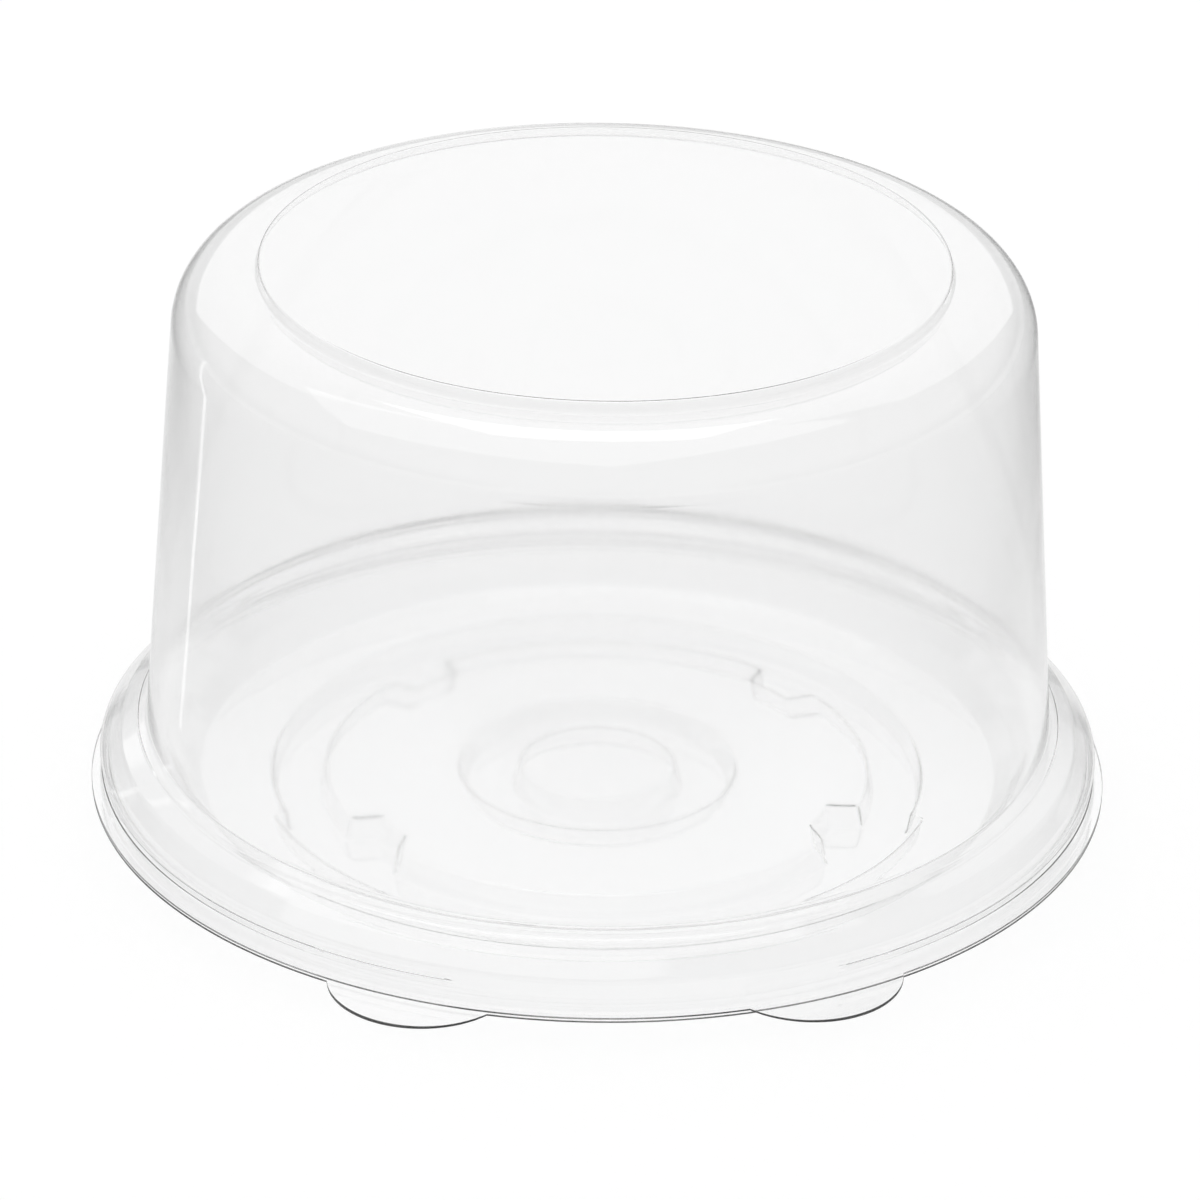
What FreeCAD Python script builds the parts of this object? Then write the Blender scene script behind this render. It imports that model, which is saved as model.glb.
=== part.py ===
# Clear round cake container: a shallow base tray and a tall dome lid, each formed from one plastic sheet.
# Millimetres. +Z is up, z = 0 is the table, the container's axis is the Z axis and -Y is the front.
# Each sheet's pull tab bends at its root, so it is a solid of its own with a rounded root edge.
import FreeCAD, Part
import math
import os

Vec = FreeCAD.Vector
axis_up = Vec(0, 0, 1)

# Sheet and fits
sheet = 0.6
flange_gap = 0.3
rim_clearance = 0.4
root_gap = 0.3
overrun = 2.0
fillet_limit_share = 0.46

# Flanges and pull tabs
rim_radius = 126.5
flange_width = 4.5
tray_flange_height = 6.3
tab_half_width = 21.0
tab_projection = 11.8
tab_angle = 23.25

# Tray rim, from its outer wall inwards
rim_height = 15.0
rim_shoulder_width = 3.2
rim_shoulder_height = 4.4
rim_slope_width = 5.3
rim_slope_height = 2.3
rim_top_width = 6.4
rim_wall_lean = 4.3
rim_wall_drop = 8.5
dish_wall_lean = 4.6

# Tray floor, from the dish wall inwards: outer floor, channel, platform, moat and island
floor_rise = 0.6
outer_floor_width = 18.6
channel_width = 11.5
channel_lean = 1.0
platform_lean = 1.2
moat_radius = 36.0
moat_lean = 2.4
island_radius = 20.2
island_lean = 1.6

# The channel stands further out along the front of the tray
front_widening = 3.4
front_angles = (-72.5, 69.5)

# Notches that open the platform's edge to the channel: two narrower ones at the front, two at the back
notch_depth = 7.4
notch_corner = 2.2
front_notch_inner_half_width = 5.8
front_notch_outer_half_width = 12.0
front_notch_angles = (-58.2, 62.4)
back_notch_inner_half_width = 7.0
back_notch_outer_half_width = 12.4
back_notch_angles = (-138.5, 130.5)

# Lid skirt: a groove under the bead, filled up along the front and less deeply beside the tabs
bead_swell = 1.3
bead_height = 8.2
groove_height = 4.55
skirt_flare = 1.0
relief_height = 7.3
relief_swell = 0.8
relief_angles = (-19.0, 26.0)
pad_swell = 0.5
pad_angles = (-34.5, 31.5)

# Lid ledge above the bead, with a small step, then the dome and its top panel
step_inset = 7.6
step_drop = 0.6
step_lean = 0.3
foot_inset = 10.0
foot_rise = 4.6
dome_height = 121.9
dome_lean = 9.05
shoulder_radius = 21.0
crown_width = 0.9
panel_rise = 3.1
panel_lean = 0.5

# Corner radii of the formed sheets
floor_corner = 1.0
rim_corner = 1.4
bead_corner = 3.4
groove_corner = 0.5
step_corner = 0.3
foot_corner = 1.2
flange_corner = 0.7
panel_corner = 0.9

# Sizes worked out from the ones above
flange_radius = rim_radius + flange_width
tray_floor_height = sheet
floor_height = tray_flange_height + floor_rise
rim_top_height = tray_flange_height + rim_height
lid_flange_bottom = tray_flange_height + flange_gap
lid_flange_top = lid_flange_bottom + sheet
lid_offset = rim_clearance + sheet
tab_root_distance = math.sqrt(flange_radius ** 2 - tab_half_width ** 2)
tab_tip_distance = flange_radius + tab_projection
slope_outer_radius = rim_radius - rim_shoulder_width
slope_inner_radius = slope_outer_radius - rim_slope_width
rim_inner_radius = slope_inner_radius - rim_top_width
break_radius = rim_inner_radius - rim_wall_lean
dish_radius = break_radius - dish_wall_lean
channel_radius = dish_radius - outer_floor_width
platform_radius = channel_radius - channel_lean - channel_width - platform_lean
groove_radius = rim_radius + lid_offset


def tray_profile():
    """Corners of the tray's upper face from the axis to the flange edge: radius, height, corner radius."""
    return [
        (0, floor_height, 0),
        (island_radius, floor_height, floor_corner),
        (island_radius + island_lean, tray_floor_height, floor_corner),
        (moat_radius - moat_lean, tray_floor_height, floor_corner),
        (moat_radius, floor_height, floor_corner),
        (platform_radius, floor_height, floor_corner),
        (platform_radius + platform_lean, tray_floor_height, floor_corner),
        (channel_radius - channel_lean, tray_floor_height, floor_corner),
        (channel_radius, floor_height, floor_corner),
        (dish_radius, floor_height, rim_corner),
        (break_radius, rim_top_height - rim_wall_drop, rim_corner),
        (rim_inner_radius, rim_top_height, rim_corner),
        (slope_inner_radius, rim_top_height, bead_corner),
        (slope_outer_radius, rim_top_height - rim_slope_height, bead_corner),
        (rim_radius, rim_top_height - rim_slope_height - rim_shoulder_height, bead_corner),
        (rim_radius, tray_flange_height, flange_corner),
        (flange_radius, tray_flange_height, 0),
    ]


def lid_profile():
    """Corners of the lid's outer face from the axis to the flange edge: radius, height, corner radius."""
    rim_slope = math.atan2(rim_slope_height, rim_slope_width)
    ledge_height = rim_top_height - rim_slope_height + lid_offset / math.cos(rim_slope)
    foot_radius = rim_radius - foot_inset
    foot_height = ledge_height + foot_rise
    step_radius = rim_radius - step_inset
    ledge_slope = foot_rise / (slope_outer_radius - foot_radius)
    step_height = ledge_height + (slope_outer_radius - step_radius) * ledge_slope
    crown_height = foot_height + dome_height
    crown_radius = foot_radius - dome_lean
    half_turn = math.pi / 4 - math.atan2(dome_lean, dome_height) / 2
    panel_foot_radius = crown_radius - shoulder_radius * math.tan(half_turn) - crown_width
    return [
        (0, crown_height + panel_rise, 0),
        (panel_foot_radius - panel_lean, crown_height + panel_rise, panel_corner),
        (panel_foot_radius, crown_height, panel_corner),
        (crown_radius, crown_height, shoulder_radius),
        (foot_radius, foot_height, foot_corner),
        (step_radius - step_lean / 2, step_height + step_drop / 2, step_corner),
        (step_radius + step_lean / 2, step_height - step_drop / 2, step_corner),
        (slope_outer_radius, ledge_height, bead_corner),
        (groove_radius + bead_swell, lid_flange_top + bead_height, bead_corner),
        (groove_radius, lid_flange_top + groove_height, groove_corner),
        (groove_radius + skirt_flare, lid_flange_top, flange_corner),
        (flange_radius, lid_flange_top, 0),
    ]


def direction(start, end):
    """Unit vector from one corner to the next, as radius and height."""
    length = math.hypot(end[0] - start[0], end[1] - start[1])
    return (end[0] - start[0]) / length, (end[1] - start[1]) / length


def parallel(corners, distance):
    """The profile moved to its lower side by a sheet's thickness, with its corner radii kept concentric."""
    moved = []
    for i, (radius, height, corner) in enumerate(corners):
        before = direction(corners[max(i - 1, 0)], corners[max(i, 1)])
        after = direction(corners[min(i, len(corners) - 2)], corners[min(i + 1, len(corners) - 1)])
        turn = before[0] * after[1] - before[1] * after[0]
        spread = 1 + before[0] * after[0] + before[1] * after[1]
        shift_radius = distance * (before[1] + after[1]) / spread
        shift_height = distance * (before[0] + after[0]) / spread
        lower_corner = corner + math.copysign(distance, turn) if corner else 0
        moved.append((radius + shift_radius, height - shift_height, max(lower_corner, 0)))
    return moved


def rounded_edges(corners):
    """Lines and tangent arcs through the corners, in the plane y = 0."""
    edges = []
    last = Vec(corners[0][0], 0, corners[0][1])
    for i in range(1, len(corners) - 1):
        radius, height, corner = corners[i]
        before = direction(corners[i - 1], corners[i])
        after = direction(corners[i], corners[i + 1])
        turn = math.acos(before[0] * after[0] + before[1] * after[1])
        to_before = math.hypot(radius - corners[i - 1][0], height - corners[i - 1][1])
        to_after = math.hypot(corners[i + 1][0] - radius, corners[i + 1][1] - height)
        reach = min(corner * math.tan(turn / 2), fillet_limit_share * min(to_before, to_after))
        point = Vec(radius, 0, height)
        if reach == 0:
            edges.append(Part.makeLine(last, point))
            last = point
            continue
        arc_start = point - Vec(before[0], 0, before[1]) * reach
        arc_end = point + Vec(after[0], 0, after[1]) * reach
        to_centre = Vec(after[0] - before[0], 0, after[1] - before[1]).normalize()
        arc_radius = reach / math.tan(turn / 2)
        arc_middle = point + to_centre * (arc_radius / math.cos(turn / 2) - arc_radius)
        edges.append(Part.makeLine(last, arc_start))
        edges.append(Part.Arc(arc_start, arc_middle, arc_end).toShape())
        last = arc_end
    edges.append(Part.makeLine(last, Vec(corners[-1][0], 0, corners[-1][1])))
    return edges


def solid_below(corners, bottom):
    """Everything below a profile, turned about the axis, down to a flat bottom."""
    top_centre = Vec(corners[0][0], 0, corners[0][1])
    top_edge = Vec(corners[-1][0], 0, corners[-1][1])
    bottom_edge = Vec(corners[-1][0], 0, bottom)
    bottom_centre = Vec(0, 0, bottom)
    edges = rounded_edges(corners)
    edges.append(Part.makeLine(top_edge, bottom_edge))
    edges.append(Part.makeLine(bottom_edge, bottom_centre))
    edges.append(Part.makeLine(bottom_centre, top_centre))
    return Part.Face(Part.Wire(edges)).revolve(Vec(0, 0, 0), axis_up, 360)


def lower_side(corners):
    """The sheet's lower profile, carried on past the flange edge."""
    lower = parallel(corners, sheet)
    lower[-1] = (lower[-1][0] + overrun, lower[-1][1], 0)
    return lower


def turned_to(shape, angle):
    """A shape modelled along +X, turned to an angle from the front, positive to the right."""
    turned = shape.copy()
    turned.rotate(Vec(0, 0, 0), axis_up, angle - 90)
    return turned


def ring_block(inner, outer, low, high, start, end):
    """A block with a rectangular section that runs round the axis from one angle to another."""
    corners = [Vec(inner, 0, low), Vec(outer, 0, low), Vec(outer, 0, high), Vec(inner, 0, high)]
    section = Part.Face(Part.makePolygon(corners + corners[:1]))
    return turned_to(section.revolve(Vec(0, 0, 0), axis_up, end - start), start)


def notch(growth, angle, inner_half_width, outer_half_width):
    """The space of one notch in the platform's edge, grown on its sides and bottom by growth."""
    outer = channel_radius - channel_lean - channel_width / 2
    inner = platform_radius - notch_depth - growth
    inner_half = inner_half_width + growth
    outer_half = outer_half_width + growth
    bottom = tray_floor_height - growth
    outline = Part.makePolygon([
        Vec(outer, -outer_half, bottom),
        Vec(inner, -inner_half, bottom),
        Vec(inner, inner_half, bottom),
        Vec(outer, outer_half, bottom),
        Vec(outer, -outer_half, bottom),
    ])
    block = Part.Face(outline).extrude(axis_up * (floor_height + overrun - bottom))
    upright = [edge for edge in block.Edges if edge.BoundBox.ZLength > floor_height / 2]
    inner_edges = [edge for edge in upright if edge.BoundBox.XMax < platform_radius - notch_depth / 2]
    return turned_to(block.makeFillet(notch_corner + growth, inner_edges), angle)


def front_channel(growth):
    """The space by which the channel is wider along the front, grown on its sides and bottom by growth."""
    inner = channel_radius - channel_lean - channel_width / 2
    outer = channel_radius + front_widening + growth
    low = tray_floor_height - growth
    turn = math.degrees(growth / channel_radius)
    start, end = front_angles[0] - turn, front_angles[1] + turn
    return ring_block(inner, outer, low, floor_height + overrun, start, end)


def floor_spaces(growth):
    """All the spaces let into the lathe-shaped floor."""
    spaces = [front_channel(growth)]
    for angle in front_notch_angles:
        spaces.append(notch(growth, angle, front_notch_inner_half_width, front_notch_outer_half_width))
    for angle in back_notch_angles:
        spaces.append(notch(growth, angle, back_notch_inner_half_width, back_notch_outer_half_width))
    return spaces


def root_slot(bottom):
    """What is taken from a flange behind and beyond a pull tab's root."""
    inner = tab_root_distance - sheet / 2 - root_gap
    reach = tab_tip_distance + overrun - inner
    width = 2 * (tab_half_width + tab_projection)
    return Part.makeBox(reach, width, sheet + 2 * flange_gap, Vec(inner, -width / 2, bottom - flange_gap))


def pull_tab(bottom, angle):
    """A pull tab: a plate with an arc outline and a half-round root along its bending line."""
    root = tab_root_distance
    nose = sheet / 2
    low = Vec(root, -tab_half_width, bottom)
    high = Vec(root, -tab_half_width, bottom + sheet)
    nose_middle = Vec(root - nose, -tab_half_width, bottom + nose)
    end_low = Vec(tab_tip_distance, -tab_half_width, bottom)
    end_high = Vec(tab_tip_distance, -tab_half_width, bottom + sheet)
    section = Part.Wire([
        Part.Arc(low, nose_middle, high).toShape(),
        Part.makeLine(high, end_high),
        Part.makeLine(end_high, end_low),
        Part.makeLine(end_low, low),
    ])
    plate = Part.Face(section).extrude(Vec(0, 2 * tab_half_width, 0))
    under = bottom - overrun
    left = Vec(root, -tab_half_width, under)
    right = Vec(root, tab_half_width, under)
    left_back = Vec(root - sheet, -tab_half_width, under)
    right_back = Vec(root - sheet, tab_half_width, under)
    outline = Part.Wire([
        Part.Arc(left, Vec(tab_tip_distance, 0, under), right).toShape(),
        Part.makeLine(right, right_back),
        Part.makeLine(right_back, left_back),
        Part.makeLine(left_back, left),
    ])
    return turned_to(plate.common(Part.Face(outline).extrude(axis_up * (sheet + 2 * overrun))), angle)


def groove_fills(inset):
    """The front stretches of the skirt where the groove is filled out, drawn in by inset."""
    low = lid_flange_bottom + sheet / 2 - inset
    high = lid_flange_top + relief_height - inset
    turn = math.degrees(inset / groove_radius)
    fills = []
    for swell, (start, end) in ((relief_swell, relief_angles), (pad_swell, pad_angles)):
        outer = groove_radius + swell - inset
        fills.append(ring_block(rim_radius, outer, low, high, start + turn, end - turn))
    return fills


def base_tray():
    """The tray sheet, open at the root of its pull tab."""
    profile = tray_profile()
    upper = solid_below(profile, -overrun)
    lower = solid_below(lower_side(profile), -2 * overrun)
    upper = upper.cut(floor_spaces(0))
    lower = lower.cut(floor_spaces(sheet))
    slot = turned_to(root_slot(tray_flange_height - sheet), -tab_angle)
    return upper.cut([lower, slot]).removeSplitter()


def dome_lid():
    """The lid sheet, open at the root of its pull tab."""
    profile = lid_profile()
    upper = solid_below(profile, lid_flange_bottom - overrun)
    lower = solid_below(lower_side(profile), lid_flange_bottom - 2 * overrun)
    slot = turned_to(root_slot(lid_flange_bottom), tab_angle)
    return upper.fuse(groove_fills(0)).cut([lower.fuse(groove_fills(sheet)), slot])


def export(name, shape):
    """Writes one solid and prints its size."""
    solid = shape.Solids[0]
    print(name, len(shape.Solids), solid.isValid(), round(solid.Volume), solid.BoundBox)
    solid.exportStep("parts/" + name + ".step")


os.makedirs("parts", exist_ok=True)
export("base_tray", base_tray())
export("dome_lid", dome_lid())
export("base_pull_tab", pull_tab(tray_flange_height - sheet, -tab_angle))
export("lid_pull_tab", pull_tab(lid_flange_bottom, tab_angle))
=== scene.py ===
import math

import bpy
import numpy as np
from mathutils import Matrix, Vector


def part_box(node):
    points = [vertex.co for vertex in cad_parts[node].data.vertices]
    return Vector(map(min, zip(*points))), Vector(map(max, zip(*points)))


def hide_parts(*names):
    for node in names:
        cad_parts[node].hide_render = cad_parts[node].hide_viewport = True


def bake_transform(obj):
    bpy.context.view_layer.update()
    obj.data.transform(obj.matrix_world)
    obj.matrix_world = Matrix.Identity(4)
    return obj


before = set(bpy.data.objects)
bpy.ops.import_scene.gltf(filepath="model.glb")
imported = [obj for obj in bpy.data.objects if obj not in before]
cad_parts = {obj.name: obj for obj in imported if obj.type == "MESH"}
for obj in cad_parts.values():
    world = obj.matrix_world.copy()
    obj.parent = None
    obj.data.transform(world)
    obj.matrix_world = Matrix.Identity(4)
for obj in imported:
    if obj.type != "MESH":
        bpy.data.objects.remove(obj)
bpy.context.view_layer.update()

bl_info = {
    "name": "Clear cake container",
    "version": (1, 0, 0),
    "blender": (4, 5, 0),
    "location": "View3D > Sidebar > Cake container",
    "description": "Builds the formed clear sheets of a round cake container and a plain studio for it",
    "category": "Object",
}

MM = 0.001


class SheetSizes(bpy.types.PropertyGroup):
    """Sizes that the tray and the lid share."""

    thickness: bpy.props.FloatProperty(
        name="Sheet thickness",
        description="Thickness of the plastic sheet after forming has drawn it thinner",
        default=0.4 * MM,
        unit="LENGTH",
    )
    flange_radius: bpy.props.FloatProperty(
        name="Flange radius",
        description="Outer radius of both flanges",
        default=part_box("base_tray")[1].x,
        unit="LENGTH",
    )
    tab_half_width: bpy.props.FloatProperty(
        name="Tab half width",
        description="Half the width of a pull tab at its root",
        default=21.0 * MM,
        unit="LENGTH",
    )
    tab_projection: bpy.props.FloatProperty(
        name="Tab projection",
        description="How far a pull tab stands out from the flange's edge",
        default=11.8 * MM,
        unit="LENGTH",
    )
    tab_angle: bpy.props.FloatProperty(
        name="Tab angle",
        description="Angle of each pull tab from the front",
        default=math.radians(23.25),
        subtype="ANGLE",
    )
    tab_bend: bpy.props.FloatProperty(
        name="Tab bend",
        description="Length of sheet at a tab's root that takes up the bend",
        default=2.4 * MM,
        unit="LENGTH",
    )


class TraySizes(bpy.types.PropertyGroup):
    """Sizes of the base tray, as radii from the axis and heights above the table."""

    flange_height: bpy.props.FloatProperty(
        name="Flange height",
        description="Height of the top of the tray's flange",
        default=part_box("base_pull_tab")[1].z,
        unit="LENGTH",
    )
    floor_height: bpy.props.FloatProperty(
        name="Floor height",
        description="Height of the outer floor, the platform and the island",
        default=6.9 * MM,
        unit="LENGTH",
    )
    channel_height: bpy.props.FloatProperty(
        name="Channel height",
        description="Height of the channel's and the moat's floor",
        default=0.6 * MM,
        unit="LENGTH",
    )
    island_radius: bpy.props.FloatProperty(
        name="Island radius",
        description="Radius of the round island in the middle",
        default=20.2 * MM,
        unit="LENGTH",
    )
    moat_radius: bpy.props.FloatProperty(
        name="Moat radius",
        description="Outer radius of the moat round the island",
        default=36.0 * MM,
        unit="LENGTH",
    )
    platform_radius: bpy.props.FloatProperty(
        name="Platform radius",
        description="Radius of the raised platform",
        default=70.4 * MM,
        unit="LENGTH",
    )
    channel_radius: bpy.props.FloatProperty(
        name="Channel radius",
        description="Outer radius of the channel round the platform",
        default=84.1 * MM,
        unit="LENGTH",
    )
    front_widening: bpy.props.FloatProperty(
        name="Front widening",
        description="How much further out the channel runs along the front",
        default=3.4 * MM,
        unit="LENGTH",
    )
    notch_depth: bpy.props.FloatProperty(
        name="Notch depth",
        description="How far each notch cuts into the platform",
        default=7.4 * MM,
        unit="LENGTH",
    )
    dish_radius: bpy.props.FloatProperty(
        name="Dish radius",
        description="Radius of the floor inside the rim",
        default=102.7 * MM,
        unit="LENGTH",
    )
    rim_radius: bpy.props.FloatProperty(
        name="Rim radius",
        description="Outer radius of the tray's rim",
        default=126.5 * MM,
        unit="LENGTH",
    )
    rim_height: bpy.props.FloatProperty(
        name="Rim height",
        description="Height of the top of the tray's rim",
        default=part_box("base_tray")[1].z,
        unit="LENGTH",
    )


class LidSizes(bpy.types.PropertyGroup):
    """Sizes of the dome lid, as radii from the axis and heights above the table."""

    flange_height: bpy.props.FloatProperty(
        name="Flange height",
        description="Height of the top of the lid's flange",
        default=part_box("lid_pull_tab")[1].z,
        unit="LENGTH",
    )
    root_radius: bpy.props.FloatProperty(
        name="Flange root radius",
        description="Radius at which the skirt meets the flange",
        default=128.5 * MM,
        unit="LENGTH",
    )
    groove_depth: bpy.props.FloatProperty(
        name="Groove depth",
        description="Depth of the skirt's groove, which snaps under the tray's rim",
        default=1.4 * MM,
        unit="LENGTH",
    )
    groove_height: bpy.props.FloatProperty(
        name="Groove height",
        description="Height of the skirt's groove",
        default=11.75 * MM,
        unit="LENGTH",
    )
    relief_fill: bpy.props.FloatProperty(
        name="Relief fill",
        description="How far the groove is filled out along the front",
        default=0.95,
        subtype="FACTOR",
    )
    pad_fill: bpy.props.FloatProperty(
        name="Pad fill",
        description="How far the groove is filled out beside the pull tabs",
        default=0.65,
        subtype="FACTOR",
    )
    bead_radius: bpy.props.FloatProperty(
        name="Bead radius",
        description="Largest radius of the bead above the groove",
        default=128.8 * MM,
        unit="LENGTH",
    )
    ledge_radius: bpy.props.FloatProperty(
        name="Ledge radius",
        description="Outer radius of the ledge between the bead and the dome",
        default=123.3 * MM,
        unit="LENGTH",
    )
    ledge_height: bpy.props.FloatProperty(
        name="Ledge height",
        description="Height of the ledge's outer edge",
        default=20.09 * MM,
        unit="LENGTH",
    )
    step_radius: bpy.props.FloatProperty(
        name="Step radius",
        description="Radius of the small step in the ledge",
        default=118.9 * MM,
        unit="LENGTH",
    )
    foot_radius: bpy.props.FloatProperty(
        name="Dome foot radius",
        description="Radius of the dome where it leaves the ledge",
        default=116.5 * MM,
        unit="LENGTH",
    )
    foot_height: bpy.props.FloatProperty(
        name="Dome foot height",
        description="Height of the dome's foot",
        default=24.69 * MM,
        unit="LENGTH",
    )
    crown_radius: bpy.props.FloatProperty(
        name="Crown radius",
        description="Radius at which the dome's wall would meet its crown",
        default=107.45 * MM,
        unit="LENGTH",
    )
    shoulder_radius: bpy.props.FloatProperty(
        name="Shoulder radius",
        description="Rounding of the dome's shoulder",
        default=15.0 * MM,
        unit="LENGTH",
    )
    panel_radius: bpy.props.FloatProperty(
        name="Panel radius",
        description="Radius of the raised panel on top",
        default=87.05 * MM,
        unit="LENGTH",
    )
    panel_rise: bpy.props.FloatProperty(
        name="Panel rise",
        description="How far the top panel stands above the crown",
        default=3.1 * MM,
        unit="LENGTH",
    )
    top_height: bpy.props.FloatProperty(
        name="Top height",
        description="Height of the top panel",
        default=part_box("dome_lid")[1].z,
        unit="LENGTH",
    )


class PlasticLook(bpy.types.PropertyGroup):
    """Colours and finish of the plastic and the studio."""

    sheet_hex: bpy.props.StringProperty(
        name="Sheet colour",
        description="Colour of the clear sheet, as sRGB hex",
        default="fefefe",
    )
    depth_hex: bpy.props.StringProperty(
        name="Depth colour",
        description="Colour that the sheet takes where it is seen along its length, as sRGB hex",
        default="858686",
    )
    tray_density: bpy.props.FloatProperty(
        name="Tray depth density",
        description="How fast the tray's sheet darkens along its length, per metre",
        default=8.0,
    )
    lid_density: bpy.props.FloatProperty(
        name="Lid depth density",
        description="How fast the lid's sheet darkens along its length, per metre",
        default=115.0,
    )
    floor_hex: bpy.props.StringProperty(
        name="Floor colour",
        description="Colour of the studio floor, as sRGB hex",
        default="8c8c8c",
    )
    sheet_roughness: bpy.props.FloatProperty(
        name="Sheet roughness",
        description="Mean roughness of the formed sheet",
        default=0.045,
        subtype="FACTOR",
    )
    ripple_size: bpy.props.FloatProperty(
        name="Ripple size",
        description="Spacing of the faint waves that forming leaves in the sheet",
        default=28.0 * MM,
        unit="LENGTH",
    )


class StageSizes(bpy.types.PropertyGroup):
    """The camera's place and the studio floor."""

    camera_distance: bpy.props.FloatProperty(
        name="Camera distance",
        description="Distance from the camera to the point it looks at",
        default=1.5307,
        unit="LENGTH",
    )
    camera_elevation: bpy.props.FloatProperty(
        name="Camera elevation",
        description="Angle of the camera above the horizon",
        default=math.radians(26.592),
        subtype="ANGLE",
    )
    camera_azimuth: bpy.props.FloatProperty(
        name="Camera azimuth",
        description="Angle of the camera to the right of the front",
        default=math.radians(-2.75),
        subtype="ANGLE",
    )
    camera_roll: bpy.props.FloatProperty(
        name="Camera roll",
        description="Turn of the camera about its own line of sight",
        default=math.radians(0.932),
        subtype="ANGLE",
    )
    target_height: bpy.props.FloatProperty(
        name="Target height",
        description="Height on the axis at which the camera looks",
        default=54.0 * MM,
        unit="LENGTH",
    )
    floor_side: bpy.props.FloatProperty(
        name="Floor side",
        description="Side of the square studio floor",
        default=12.0,
        unit="LENGTH",
    )


# Notches in the platform's edge: angle from the front, half width at the inner end, and both sides' ramps
NOTCHES = (
    (-58.2, 5.8 * MM, (2.6, 6.5)),
    (62.4, 5.8 * MM, (6.5, 2.6)),
    (-138.5, 7.0 * MM, (2.6, 2.6)),
    (130.5, 7.0 * MM, (2.6, 2.6)),
)

# Share of a notch's ramp that lies outside its inner width
NOTCH_RAMP_SHARE = 0.35

# Angles from the front, in degrees, positive to the right, at which features along the front begin and end
FRONT_CHANNEL = (-72.5, 69.5)
RELIEF = (-19.0, 26.0)
TAB_PADS = (-34.5, 31.5)

# Angles, in degrees, over which each of these features fades in and out
CHANNEL_RAMPS = (1.5, 1.5)
RELIEF_RAMPS = (1.0, 1.0)
PAD_RAMPS = (1.4, 1.4)

# How far each sloping side of the tray runs sideways
ISLAND_SLOPE = 1.6 * MM
MOAT_SLOPE = 2.4 * MM
PLATFORM_SLOPE = 1.2 * MM
CHANNEL_SLOPE = 1.0 * MM
DISH_SLOPE = 4.3 * MM

# The rim's top from the inside outward: its flat, its slope and its shoulder
RIM_FLAT = 6.4 * MM
RIM_SLOPE = 5.3 * MM
RIM_SHOULDER = 3.2 * MM

# Depths below the rim's top: the dish wall's bend, and the lower ends of the slope and the shoulder
DISH_BEND_DROP = 8.5 * MM
RIM_SLOPE_DROP = 2.3 * MM
RIM_SHOULDER_DROP = 6.7 * MM

# Small sizes of the lid: the panel's side, the ledge's step, the bead's rise and half the groove's height
PANEL_SLOPE = 0.5 * MM
STEP_LEAN = 0.15 * MM
STEP_DROP = 0.3 * MM
BEAD_RISE = 8.2 * MM
GROOVE_HALF_HEIGHT = 0.9 * MM

# Roundings of the corners in the profiles
GROOVE_ROUNDING = 0.3 * MM
LIP_ROUNDING = 0.4 * MM
FLANGE_ROUNDING = 0.7 * MM
STEP_ROUNDING = 0.7 * MM
PANEL_ROUNDING = 0.9 * MM
FLOOR_ROUNDING = 1.0 * MM
FOOT_ROUNDING = 1.2 * MM
DISH_ROUNDING = 1.4 * MM
BEAD_ROUNDING = 2.4 * MM
RIM_INNER_ROUNDING = 3.0 * MM
RIM_ROUNDING = 3.4 * MM

# Settings of the mesh: columns round the axis, and steps in a corner, in the shoulder and across a flange
COLUMNS = 600
CORNER_STEPS = 5
SHOULDER_STEPS = 16
FLANGE_STEPS = 14

# A row supports each end of a straight side, at this distance or at this share of a short side
SUPPORT = 0.5 * MM
SUPPORT_SHARE = 0.25

# A rounding takes up at most this share of the sides that meet in its corner
ROUNDING_SHARE = 0.7

# Keeps a division from meeting zero
TINY = 1e-9

# Where each sheet's waves lie along the pattern
TRAY_PATTERN_SHIFT = 0.0
LID_PATTERN_SHIFT = 0.7

# Glow of the studio floor: as the background, and at the brightest of the painted pool of light that shows
# only in reflections
BACKGROUND_GLOW = 0.785
POOL_GLOW_IN_REFLECTIONS = 0.72

# The floor lies this far below the table plane, so that it doesn't touch the tray
FLOOR_GAP = 0.5 * MM

# The lamp: name, place, point aimed at, size and power
OVERHEAD = ("overhead soft box", (-0.3, 0.2, 2.2), (0, 0, 0.05), (2.6, 2.6), 10.6)

# Cards for reflections: name, place, point aimed at, size, strength, and if they show through the plastic
CARDS = (
    ("rear_card", (0.0, 1.7, 1.45), (0, 0, 0.1), (3.2, 1.9), 1.15, True),
    ("streak_card", (0.0, 0.8, 1.5), (0, 0.1, 0.03), (0.6, 0.8), 2.2, True),
    ("strip_card", (-0.165, 0.011, 0.075), (0, 0, 0.075), (0.004, 0.142), 1.5, False),
)

# The camera's sensor in millimetres, and its focal length and frame in pixels of the photograph
SENSOR_WIDTH = 36.0
FOCAL_PIXELS = 5969.7
FRAME_PIXELS = 1200


def linear(hex_text):
    """A linear colour from an sRGB hex value."""
    channels = [int(hex_text[i : i + 2], 16) / 255 for i in (0, 2, 4)]
    return [c / 12.92 if c <= 0.04045 else ((c + 0.055) / 1.055) ** 2.4 for c in channels] + [1.0]


def add_node(tree, kind, settings=None, inputs=None):
    """Adds a node, sets its properties, and links or sets each named input."""
    node = tree.nodes.new(kind)
    for name, value in (settings or {}).items():
        setattr(node, name, value)
    for name, value in (inputs or {}).items():
        if isinstance(value, bpy.types.NodeSocket):
            tree.links.new(value, node.inputs[name])
        else:
            node.inputs[name].default_value = value
    return node


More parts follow.
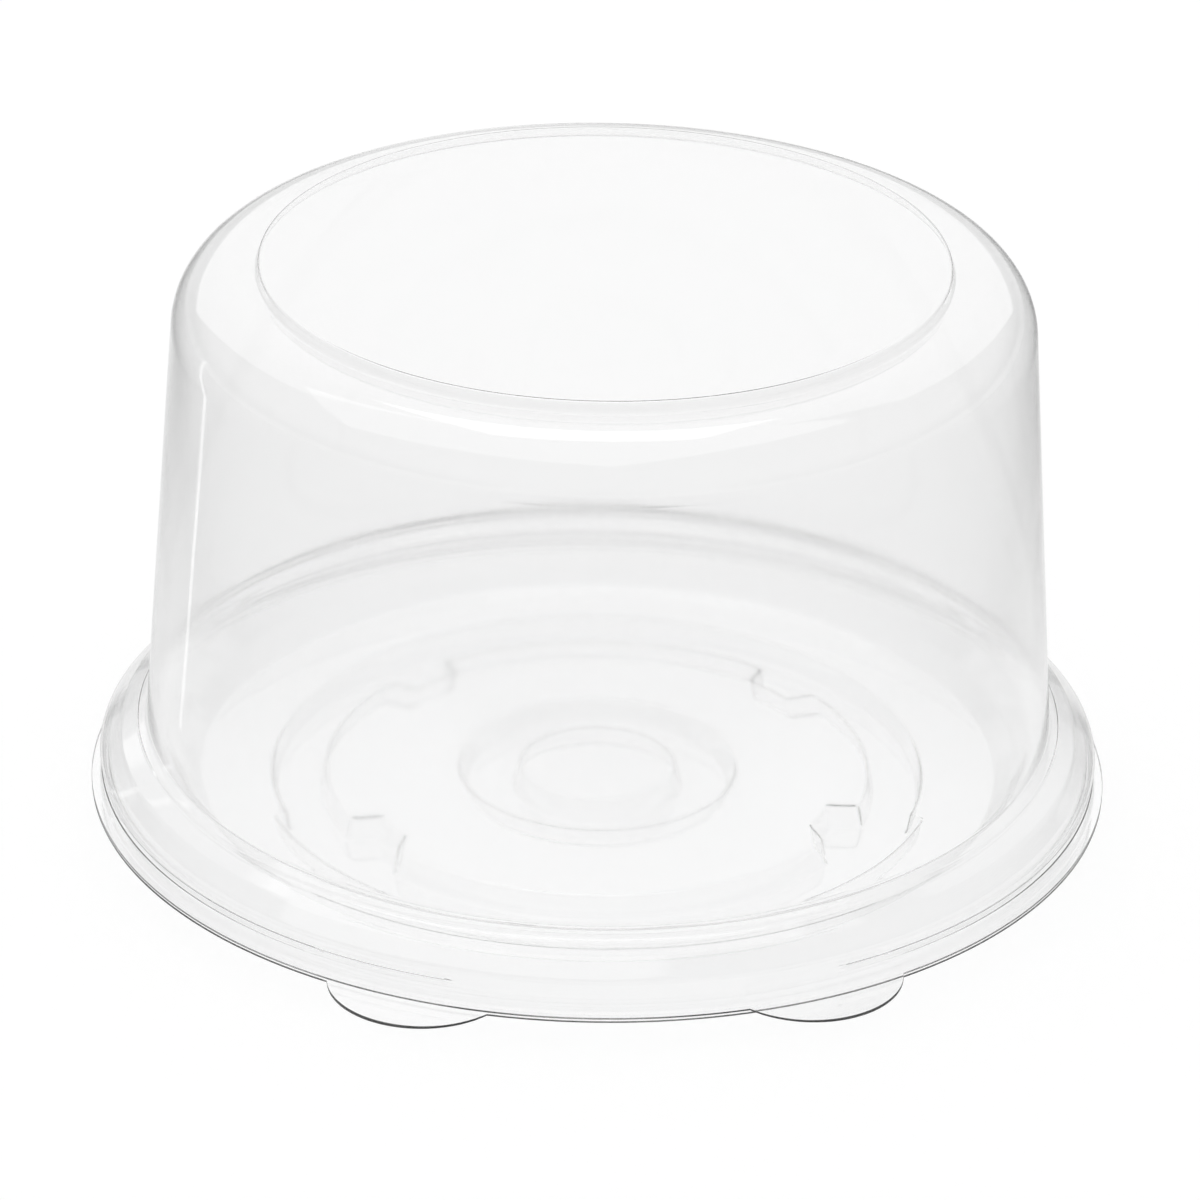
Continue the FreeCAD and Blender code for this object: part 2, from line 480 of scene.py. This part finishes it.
def ring_angles(sheet, tab_direction):
    """Evenly spaced angles round the axis, with the two nearest ones moved to the pull tab's ends."""
    angles = np.linspace(-math.pi, math.pi, COLUMNS, endpoint=False)
    half_angle = math.asin(sheet.tab_half_width / sheet.flange_radius)
    for end in (tab_direction - half_angle, tab_direction + half_angle):
        angles[np.argmin(np.abs(angles - end))] = end
    return angles


def stretch(angles, limits, ramps):
    """1 between two angles in degrees and 0 outside, with soft ends."""
    start, end = np.radians(limits)
    rising, falling = np.radians(ramps)
    rise = np.clip((angles - start) / rising + 0.5, 0, 1)
    fall = np.clip((end - angles) / falling + 0.5, 0, 1)
    inside = np.minimum(rise, fall)
    return inside * inside * (3 - 2 * inside)


def flange_edge(angles, sheet, tab_direction):
    """Radius of a flange's edge, carried out round its pull tab."""
    root = math.sqrt(sheet.flange_radius**2 - sheet.tab_half_width**2)
    sagitta = sheet.flange_radius + sheet.tab_projection - root
    arc_radius = (sheet.tab_half_width**2 + sagitta**2) / (2 * sagitta)
    arc_centre = root + sagitta - arc_radius
    turn = angles - tab_direction
    under_root = np.maximum(arc_radius**2 - (arc_centre * np.sin(turn)) ** 2, 0)
    arc = arc_centre * np.cos(turn) + np.sqrt(under_root)
    half_angle = math.atan2(sheet.tab_half_width, root)
    on_tab = np.abs(turn) < half_angle
    return np.where(on_tab, np.maximum(arc, sheet.flange_radius), sheet.flange_radius)


def platform_edge(angles, tray):
    """Radius of the platform's edge with its notches."""
    edge = np.full_like(angles, tray.platform_radius)
    inner = tray.platform_radius - tray.notch_depth
    for middle, half_width, ramps in NOTCHES:
        half = math.degrees(math.atan2(half_width, inner))
        limits = (middle - half - NOTCH_RAMP_SHARE * ramps[0], middle + half + NOTCH_RAMP_SHARE * ramps[1])
        edge = edge - tray.notch_depth * stretch(angles, limits, ramps)
    return edge


def rounded_rows(corners, last_steps):
    """Rings of points along a profile whose corners are rounded by true arcs.

    A corner is radius, height, rounding and number of steps. Its radius and height may vary round the axis.
    """
    rows = []
    count = len(corners[0][0])
    points = []
    for radius, height, _, _ in corners:
        pair = [np.broadcast_to(radius, count), np.broadcast_to(height, count)]
        points.append(np.stack(pair).astype(float))
    last = points[0]
    rows.append(last)

    def straight(start, end, steps):
        length = np.hypot(*(end - start))
        lead = np.minimum(SUPPORT, SUPPORT_SHARE * length) / np.maximum(length, TINY)
        if steps is None:
            shares = [lead, 1 - lead]
        else:
            shares = [np.full(count, k / steps) for k in range(1, steps)]
        rows.extend(start + (end - start) * share for share in shares)

    for i in range(1, len(corners) - 1):
        before, after = points[i] - points[i - 1], points[i + 1] - points[i]
        length_before, length_after = np.hypot(*before), np.hypot(*after)
        before, after = before / length_before, after / length_after
        turn = np.arccos(np.clip((before * after).sum(0), -1, 1))
        side = np.sign(before[0] * after[1] - before[1] * after[0])
        half = np.tan(turn / 2)
        reach = np.minimum(corners[i][2] * half, ROUNDING_SHARE * np.minimum(length_before, length_after))
        radius = reach / np.maximum(half, TINY)
        normal = side * np.stack([-before[1], before[0]])
        start = points[i] - before * reach
        centre = start + normal * radius
        straight(last, start, None)
        for k in range(corners[i][3] + 1):
            angle = turn * k / corners[i][3]
            rows.append(centre - normal * radius * np.cos(angle) + before * radius * np.sin(angle))
        last = rows[-1]
    straight(last, points[-1], last_steps)
    rows.append(points[-1])
    return rows


def formed_sheet(name, rows, angles, sheet, material):
    """A formed sheet: the profile turned about the axis and given its thickness below."""
    ring = len(angles)
    points = [(0.0, 0.0, float(rows[0][1][0]))]
    for radius, height in rows[1:]:
        across = radius * np.sin(angles)
        along = -radius * np.cos(angles)
        points.extend(zip(across.tolist(), along.tolist(), height.tolist()))
    faces = [(0, 1 + j, 1 + (j + 1) % ring) for j in range(ring)]
    for i in range(len(rows) - 2):
        inner, outer = 1 + i * ring, 1 + (i + 1) * ring
        for j in range(ring):
            k = (j + 1) % ring
            faces.append((inner + j, outer + j, outer + k, inner + k))
    mesh = bpy.data.meshes.new(name)
    mesh.from_pydata(points, [], faces)
    mesh.validate()
    mesh.shade_smooth()
    mesh.materials.append(material)
    made = bpy.data.objects.new(name, mesh)
    bpy.context.scene.collection.objects.link(made)
    solidify = made.modifiers.new("Sheet thickness", "SOLIDIFY")
    solidify.thickness = sheet.thickness
    solidify.offset = -1
    solidify.use_even_offset = True
    solidify.use_quality_normals = True
    made.modifiers.new("Flat faces stay flat", "WEIGHTED_NORMAL")
    return made


def bend_at_tab(made):
    """Bakes the sheet's placement into its mesh, so that its object keeps no transform of its own."""
    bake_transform(made)


def clear_formed_pet(name, look, density, shift):
    """Clear PET sheet, vacuum formed: glossy and nearly colourless.

    It shows by its reflections and by darker lines where it turns edge-on. Drawing the hot sheet leaves
    faint waves and slightly duller patches. Lamp light passes straight through it, so its shadow is pale.
    """
    material = bpy.data.materials.new(name)
    material.use_nodes = True
    tree = material.node_tree
    tree.nodes.clear()
    place = add_node(tree, "ShaderNodeTexCoord")
    moved = add_node(
        tree,
        "ShaderNodeMapping",
        None,
        {"Vector": place.outputs["Object"], "Location": (shift, 0, 0)},
    )
    waves = add_node(
        tree,
        "ShaderNodeTexNoise",
        None,
        {
            "Vector": moved.outputs["Vector"],
            "Scale": 1 / look.ripple_size,
            "Detail": 1.0,
            "Roughness": 0.4,
        },
    )
    patches = add_node(
        tree,
        "ShaderNodeTexNoise",
        None,
        {"Vector": moved.outputs["Vector"], "Scale": 1 / (2.5 * look.ripple_size), "Detail": 3.0},
    )
    dulling = add_node(
        tree,
        "ShaderNodeMapRange",
        None,
        {
            "Value": patches.outputs["Fac"],
            "From Min": 0.3,
            "From Max": 0.7,
            "To Min": 0.4 * look.sheet_roughness,
            "To Max": 1.8 * look.sheet_roughness,
        },
    )
    bump = add_node(
        tree,
        "ShaderNodeBump",
        None,
        {"Height": waves.outputs["Fac"], "Strength": 0.35, "Distance": 0.12 * MM},
    )
    plastic = add_node(
        tree,
        "ShaderNodeBsdfPrincipled",
        None,
        {
            "Base Color": linear(look.sheet_hex),
            "IOR": 1.57,
            "Transmission Weight": 1.0,
            "Roughness": dulling.outputs["Result"],
            "Normal": bump.outputs["Normal"],
        },
    )
    passing = add_node(tree, "ShaderNodeBsdfTransparent", None, {"Color": (0.985, 0.987, 0.988, 1.0)})
    path = add_node(tree, "ShaderNodeLightPath")
    lighting = add_node(
        tree,
        "ShaderNodeMath",
        {"operation": "MAXIMUM"},
        {0: path.outputs["Is Shadow Ray"], 1: path.outputs["Is Diffuse Ray"]},
    )
    mixed = add_node(tree, "ShaderNodeMixShader", None, {"Fac": lighting.outputs[0]})
    tree.links.new(plastic.outputs["BSDF"], mixed.inputs[1])
    tree.links.new(passing.outputs["BSDF"], mixed.inputs[2])
    tint = add_node(
        tree, "ShaderNodeVolumeAbsorption", None, {"Color": linear(look.depth_hex), "Density": density}
    )
    add_node(
        tree,
        "ShaderNodeOutputMaterial",
        None,
        {"Surface": mixed.outputs["Shader"], "Volume": tint.outputs["Volume"]},
    )
    return material


class CAKEBOX_OT_tray_sheet(bpy.types.Operator):
    """Builds the base tray with its pull tab"""

    bl_idname = "cakebox.tray_sheet"
    bl_label = "Build tray sheet"

    def execute(self, context):
        scene = context.scene
        sheet, tray, look = scene.cakebox_sheet, scene.cakebox_tray, scene.cakebox_look
        tab_direction = -sheet.tab_angle
        angles = ring_angles(sheet, tab_direction)
        platform = platform_edge(angles, tray)
        channel = tray.channel_radius + tray.front_widening * stretch(angles, FRONT_CHANNEL, CHANNEL_RAMPS)
        floor, low, rim = tray.floor_height, tray.channel_height, tray.rim_height
        slope_outer = tray.rim_radius - RIM_SHOULDER
        slope_inner = slope_outer - RIM_SLOPE
        rim_inner = slope_inner - RIM_FLAT
        corners = [
            (np.zeros_like(angles), floor, 0, 1),
            (tray.island_radius, floor, FLOOR_ROUNDING, CORNER_STEPS),
            (tray.island_radius + ISLAND_SLOPE, low, FLOOR_ROUNDING, CORNER_STEPS),
            (tray.moat_radius - MOAT_SLOPE, low, FLOOR_ROUNDING, CORNER_STEPS),
            (tray.moat_radius, floor, FLOOR_ROUNDING, CORNER_STEPS),
            (platform, floor, FLOOR_ROUNDING, CORNER_STEPS),
            (platform + PLATFORM_SLOPE, low, FLOOR_ROUNDING, CORNER_STEPS),
            (channel - CHANNEL_SLOPE, low, FLOOR_ROUNDING, CORNER_STEPS),
            (channel, floor, FLOOR_ROUNDING, CORNER_STEPS),
            (tray.dish_radius, floor, DISH_ROUNDING, CORNER_STEPS),
            (rim_inner - DISH_SLOPE, rim - DISH_BEND_DROP, DISH_ROUNDING, CORNER_STEPS),
            (rim_inner, rim, RIM_INNER_ROUNDING, CORNER_STEPS),
            (slope_inner, rim, RIM_ROUNDING, CORNER_STEPS),
            (slope_outer, rim - RIM_SLOPE_DROP, RIM_ROUNDING, CORNER_STEPS),
            (tray.rim_radius, rim - RIM_SHOULDER_DROP, RIM_ROUNDING, CORNER_STEPS),
            (tray.rim_radius, tray.flange_height, FLANGE_ROUNDING, CORNER_STEPS),
            (flange_edge(angles, sheet, tab_direction), tray.flange_height, 0, 1),
        ]
        rows = rounded_rows(corners, FLANGE_STEPS)
        name = "PET tray sheet, vacuum formed"
        material = clear_formed_pet(name, look, look.tray_density, TRAY_PATTERN_SHIFT)
        made = formed_sheet("tray_sheet", rows, angles, sheet, material)
        bend_at_tab(made)
        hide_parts("base_tray", "base_pull_tab")
        return {"FINISHED"}


class CAKEBOX_OT_lid_sheet(bpy.types.Operator):
    """Builds the dome lid with its pull tab"""

    bl_idname = "cakebox.lid_sheet"
    bl_label = "Build lid sheet"

    def execute(self, context):
        scene = context.scene
        sheet, lid, look = scene.cakebox_sheet, scene.cakebox_lid, scene.cakebox_look
        tab_direction = sheet.tab_angle
        angles = ring_angles(sheet, tab_direction)
        relief = lid.relief_fill * stretch(angles, RELIEF, RELIEF_RAMPS)
        pads = lid.pad_fill * stretch(angles, TAB_PADS, PAD_RAMPS)
        groove = lid.root_radius - lid.groove_depth * (1 - np.maximum(relief, pads))
        crown = lid.top_height - lid.panel_rise
        slope = (lid.foot_height - lid.ledge_height) / (lid.ledge_radius - lid.foot_radius)
        step_height = lid.ledge_height + (lid.ledge_radius - lid.step_radius) * slope
        lip_top = lid.groove_height + GROOVE_HALF_HEIGHT
        lip_bottom = lid.groove_height - GROOVE_HALF_HEIGHT
        corners = [
            (np.zeros_like(angles), lid.top_height, 0, 1),
            (lid.panel_radius - PANEL_SLOPE, lid.top_height, PANEL_ROUNDING, CORNER_STEPS),
            (lid.panel_radius, crown, PANEL_ROUNDING, CORNER_STEPS),
            (lid.crown_radius, crown, lid.shoulder_radius, SHOULDER_STEPS),
            (lid.foot_radius, lid.foot_height, FOOT_ROUNDING, CORNER_STEPS),
            (lid.step_radius - STEP_LEAN, step_height + STEP_DROP, STEP_ROUNDING, CORNER_STEPS),
            (lid.step_radius + STEP_LEAN, step_height - STEP_DROP, STEP_ROUNDING, CORNER_STEPS),
            (lid.ledge_radius, lid.ledge_height, RIM_ROUNDING, CORNER_STEPS),
            (lid.bead_radius, lid.flange_height + BEAD_RISE, BEAD_ROUNDING, CORNER_STEPS),
            (lid.root_radius, lip_top, LIP_ROUNDING, CORNER_STEPS),
            (groove, lid.groove_height, GROOVE_ROUNDING, CORNER_STEPS),
            (lid.root_radius, lip_bottom, LIP_ROUNDING, CORNER_STEPS),
            (lid.root_radius, lid.flange_height, FLANGE_ROUNDING, CORNER_STEPS),
            (flange_edge(angles, sheet, tab_direction), lid.flange_height, 0, 1),
        ]
        rows = rounded_rows(corners, FLANGE_STEPS)
        name = "PET lid sheet, vacuum formed"
        material = clear_formed_pet(name, look, look.lid_density, LID_PATTERN_SHIFT)
        made = formed_sheet("lid_sheet", rows, angles, sheet, material)
        bend_at_tab(made)
        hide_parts("dome_lid", "lid_pull_tab")
        return {"FINISHED"}


def studio_floor(name, look):
    """Matt board: the lamp lights it, and it is lifted to white as the background.

    In reflections only, it glows with a painted pool of light along a sweep from the object to the back,
    fading out on both sides of it and towards the front.
    """
    material = bpy.data.materials.new(name)
    material.use_nodes = True
    tree = material.node_tree
    tree.nodes.clear()
    board = add_node(tree, "ShaderNodeBsdfDiffuse", None, {"Color": linear(look.floor_hex)})
    path = add_node(tree, "ShaderNodeLightPath")
    through = add_node(
        tree,
        "ShaderNodeMath",
        {"operation": "MAXIMUM"},
        {0: path.outputs["Is Camera Ray"], 1: path.outputs["Is Transmission Ray"]},
    )
    seen = add_node(
        tree,
        "ShaderNodeMath",
        {"operation": "MULTIPLY"},
        {0: through.outputs[0], 1: BACKGROUND_GLOW},
    )
    place = add_node(tree, "ShaderNodeNewGeometry")
    split = add_node(tree, "ShaderNodeSeparateXYZ", None, {"Vector": place.outputs["Position"]})
    aside = add_node(tree, "ShaderNodeMath", {"operation": "ABSOLUTE"}, {0: split.outputs["X"]})
    # Painted pool of light: full glow along a band behind the object, none on both sides and in front
    sweep = add_node(
        tree,
        "ShaderNodeMapRange",
        {"interpolation_type": "SMOOTHSTEP"},
        {
            "Value": aside.outputs[0],
            "From Min": 0.14,
            "From Max": 0.3,
            "To Min": POOL_GLOW_IN_REFLECTIONS,
            "To Max": 0.0,
        },
    )
    front = add_node(
        tree,
        "ShaderNodeMapRange",
        {"interpolation_type": "SMOOTHSTEP"},
        {"Value": split.outputs["Y"], "From Min": -0.34, "From Max": -0.18, "To Min": 0.0, "To Max": 1.0},
    )
    painted_pool = add_node(
        tree,
        "ShaderNodeMath",
        {"operation": "MULTIPLY"},
        {0: front.outputs["Result"], 1: sweep.outputs["Result"]},
    )
    # The painted pool of light shows only in reflections
    pool_in_reflections = add_node(
        tree,
        "ShaderNodeMath",
        {"operation": "MULTIPLY"},
        {0: path.outputs["Is Glossy Ray"], 1: painted_pool.outputs[0]},
    )
    # A ray that the plastic refracts counts as a glossy one too, so the larger lift is taken
    lift = add_node(
        tree, "ShaderNodeMath", {"operation": "MAXIMUM"}, {0: seen.outputs[0], 1: pool_in_reflections.outputs[0]}
    )
    glow = add_node(tree, "ShaderNodeEmission", None, {"Strength": lift.outputs[0]})
    both = add_node(tree, "ShaderNodeAddShader")
    tree.links.new(board.outputs["BSDF"], both.inputs[0])
    tree.links.new(glow.outputs["Emission"], both.inputs[1])
    add_node(tree, "ShaderNodeOutputMaterial", None, {"Surface": both.outputs["Shader"]})
    return material


def studio_world(name):
    """Soft light: bright overhead, in front and behind, and darker low down on both sides.

    The background is white for the camera, and low down through the plastic too.
    """
    world = bpy.data.worlds.new(name)
    world.use_nodes = True
    tree = world.node_tree
    tree.nodes.clear()
    place = add_node(tree, "ShaderNodeTexCoord")
    split = add_node(tree, "ShaderNodeSeparateXYZ", None, {"Vector": place.outputs["Generated"]})
    aside = add_node(tree, "ShaderNodeMath", {"operation": "ABSOLUTE"}, {0: split.outputs["X"]})
    low = add_node(
        tree,
        "ShaderNodeMapRange",
        {"interpolation_type": "SMOOTHSTEP"},
        {"Value": aside.outputs[0], "From Min": 0.3, "From Max": 0.7, "To Min": 0.85, "To Max": 0.5},
    )
    rise = add_node(
        tree,
        "ShaderNodeMapRange",
        {"interpolation_type": "SMOOTHSTEP"},
        {
            "Value": split.outputs["Z"],
            "From Min": 0.05,
            "From Max": 0.4,
            "To Min": low.outputs["Result"],
            "To Max": 0.9,
        },
    )
    studio = add_node(tree, "ShaderNodeBackground", None, {"Strength": rise.outputs["Result"]})
    white = add_node(tree, "ShaderNodeBackground", None, {"Strength": 1.0, "Color": (1, 1, 1, 1)})
    path = add_node(tree, "ShaderNodeLightPath")
    backdrop = add_node(
        tree,
        "ShaderNodeMapRange",
        None,
        {"Value": split.outputs["Z"], "From Min": 0.07, "From Max": 0.1, "To Min": 1.0, "To Max": 0.0},
    )
    through = add_node(
        tree,
        "ShaderNodeMath",
        {"operation": "MULTIPLY"},
        {0: path.outputs["Is Transmission Ray"], 1: backdrop.outputs["Result"]},
    )
    seen = add_node(
        tree,
        "ShaderNodeMath",
        {"operation": "MAXIMUM"},
        {0: path.outputs["Is Camera Ray"], 1: through.outputs[0]},
    )
    mixed = add_node(tree, "ShaderNodeMixShader", None, {"Fac": seen.outputs[0]})
    tree.links.new(studio.outputs["Background"], mixed.inputs[1])
    tree.links.new(white.outputs["Background"], mixed.inputs[2])
    add_node(tree, "ShaderNodeOutputWorld", None, {"Surface": mixed.outputs["Shader"]})
    return world


def soft_box(name, place, aim, size, power):
    """A rectangular soft box aimed at a point."""
    light = bpy.data.lights.new(name, "AREA")
    light.shape = "RECTANGLE"
    light.size, light.size_y = size
    light.energy = power
    lamp = bpy.data.objects.new(name, light)
    lamp.location = place
    lamp.rotation_euler = (Vector(aim) - Vector(place)).to_track_quat("-Z", "Y").to_euler()
    bpy.context.scene.collection.objects.link(lamp)


def reflector_card(name, place, aim, size, strength, through):
    """A glowing card that shows in reflections like a soft box's face, and through the plastic if asked."""
    half_width, half_height = size[0] / 2, size[1] / 2
    corners = [(-half_width, -half_height, 0), (half_width, -half_height, 0)]
    corners += [(half_width, half_height, 0), (-half_width, half_height, 0)]
    mesh = bpy.data.meshes.new(name)
    mesh.from_pydata(corners, [], [(0, 1, 2, 3)])
    material = bpy.data.materials.new("Soft box face, white diffuser")
    material.use_nodes = True
    tree = material.node_tree
    tree.nodes.clear()
    glow = add_node(tree, "ShaderNodeEmission", None, {"Strength": strength})
    add_node(tree, "ShaderNodeOutputMaterial", None, {"Surface": glow.outputs["Emission"]})
    mesh.materials.append(material)
    card = bpy.data.objects.new(name, mesh)
    card.location = place
    card.rotation_euler = (Vector(aim) - Vector(place)).to_track_quat("-Z", "Y").to_euler()
    card.visible_camera = False
    card.visible_diffuse = False
    card.visible_transmission = through
    card.visible_shadow = False
    bpy.context.scene.collection.objects.link(card)


class CAKEBOX_OT_stage(bpy.types.Operator):
    """Sets up the floor, the lamps, the world and the camera"""

    bl_idname = "cakebox.stage"
    bl_label = "Set up studio"

    def execute(self, context):
        scene = context.scene
        stage, look = scene.cakebox_stage, scene.cakebox_look
        half = stage.floor_side / 2
        mesh = bpy.data.meshes.new("studio_floor")
        corners = [(-half, -half, 0), (half, -half, 0), (half, half, 0), (-half, half, 0)]
        mesh.from_pydata(corners, [], [(0, 1, 2, 3)])
        mesh.materials.append(studio_floor("Studio board, matt white", look))
        board = bpy.data.objects.new("studio_floor", mesh)
        board.location.z = -FLOOR_GAP
        scene.collection.objects.link(board)
        scene.world = studio_world("Studio surroundings")
        soft_box(*OVERHEAD)
        for card in CARDS:
            reflector_card(*card)
        camera = bpy.data.cameras.new("camera")
        camera.sensor_width = SENSOR_WIDTH
        camera.lens = SENSOR_WIDTH * FOCAL_PIXELS / FRAME_PIXELS
        eye = bpy.data.objects.new("camera", camera)
        flat = math.cos(stage.camera_elevation)
        back = Vector(
            (
                flat * math.sin(stage.camera_azimuth),
                -flat * math.cos(stage.camera_azimuth),
                math.sin(stage.camera_elevation),
            )
        )
        level = (-back).to_track_quat("-Z", "Y").to_matrix().to_4x4()
        turn = Matrix.Rotation(stage.camera_roll, 4, "Z")
        place = Matrix.Translation(Vector((0, 0, stage.target_height)) + back * stage.camera_distance)
        eye.matrix_world = place @ level @ turn
        scene.collection.objects.link(eye)
        scene.camera = eye
        # Light crosses up to a dozen layers of clear sheet here, with two surfaces each
        scene.cycles.max_bounces = 28
        scene.cycles.transmission_bounces = 28
        scene.cycles.glossy_bounces = 12
        scene.cycles.transparent_max_bounces = 32
        scene.view_settings.view_transform = "Standard"
        return {"FINISHED"}


class VIEW3D_PT_cakebox(bpy.types.Panel):
    """Lists the container's sizes and builders"""

    bl_idname = "VIEW3D_PT_cakebox"
    bl_label = "Cake container"
    bl_space_type = "VIEW_3D"
    bl_region_type = "UI"
    bl_category = "Cake container"

    def draw(self, context):
        for group, operator in PANEL_ROWS:
            box = self.layout.box()
            settings = getattr(context.scene, group)
            for name in settings.__annotations__:
                box.prop(settings, name)
            if operator:
                box.operator(operator)


PANEL_ROWS = (
    ("cakebox_sheet", None),
    ("cakebox_look", None),
    ("cakebox_tray", "cakebox.tray_sheet"),
    ("cakebox_lid", "cakebox.lid_sheet"),
    ("cakebox_stage", "cakebox.stage"),
)
GROUPS = {
    "cakebox_sheet": SheetSizes,
    "cakebox_tray": TraySizes,
    "cakebox_lid": LidSizes,
    "cakebox_look": PlasticLook,
    "cakebox_stage": StageSizes,
}
BUILDERS = (CAKEBOX_OT_tray_sheet, CAKEBOX_OT_lid_sheet, CAKEBOX_OT_stage, VIEW3D_PT_cakebox)


def register():
    for name, group in GROUPS.items():
        bpy.utils.register_class(group)
        setattr(bpy.types.Scene, name, bpy.props.PointerProperty(type=group))
    for builder in BUILDERS:
        bpy.utils.register_class(builder)


def unregister():
    for builder in reversed(BUILDERS):
        bpy.utils.unregister_class(builder)
    for name, group in GROUPS.items():
        delattr(bpy.types.Scene, name)
        bpy.utils.unregister_class(group)


def main():
    register()
    bpy.ops.cakebox.tray_sheet()
    bpy.ops.cakebox.lid_sheet()
    bpy.ops.cakebox.stage()


if __name__ == "__main__":
    main()
